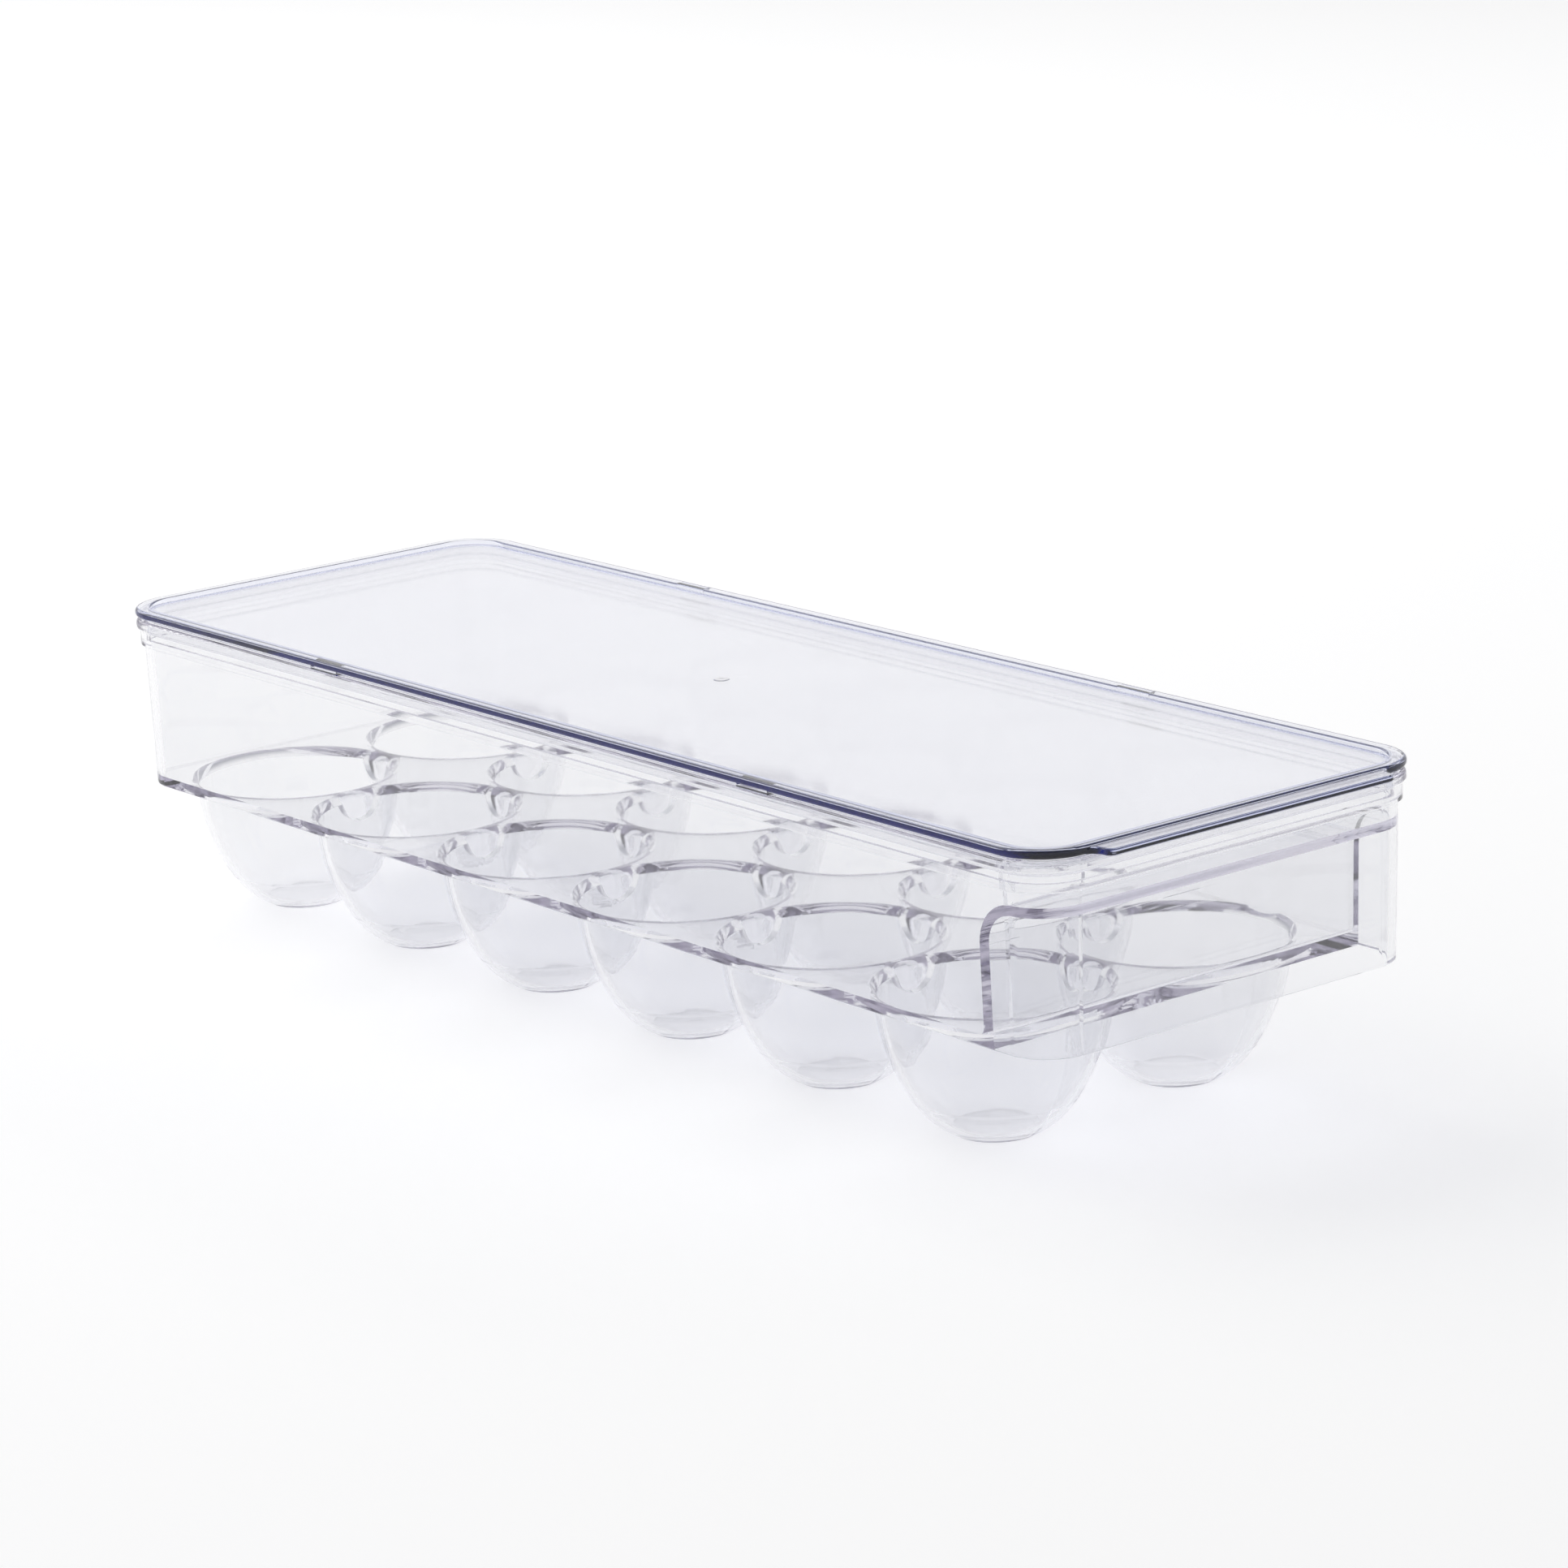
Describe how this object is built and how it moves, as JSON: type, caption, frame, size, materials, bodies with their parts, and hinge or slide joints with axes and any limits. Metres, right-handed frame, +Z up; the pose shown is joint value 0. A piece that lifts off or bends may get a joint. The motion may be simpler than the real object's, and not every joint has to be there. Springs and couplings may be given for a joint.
{
  "type": "egg holder tray",
  "caption": "Clear lidded egg tray: rounded cups in two rows under a straight-sided bin, a finger pocket at one end and a flat lift-off lid with a pull tab.",
  "frame": {"origin": "under the middle of the outline, on the surface that the cups stand on", "axes": "+X along the tray towards the finger pocket and the lid's tab, +Y across it, +Z up"},
  "size_m": [0.3334, 0.107, 0.0719],
  "materials": {
    "tray_clear": "clear, polished mould",
    "lid_clear": "clear, polished mould"
  },
  "bodies": {
    "tray": {"tray": "tray_clear"},
    "lid": {"lid": "lid_clear"}
  },
  "joints": [
    {"name": "lid_lift", "type": "slide", "parent": "tray", "child": "lid", "axis": [0, 0, 1], "range_m": [0, 0.11]}
  ]
}
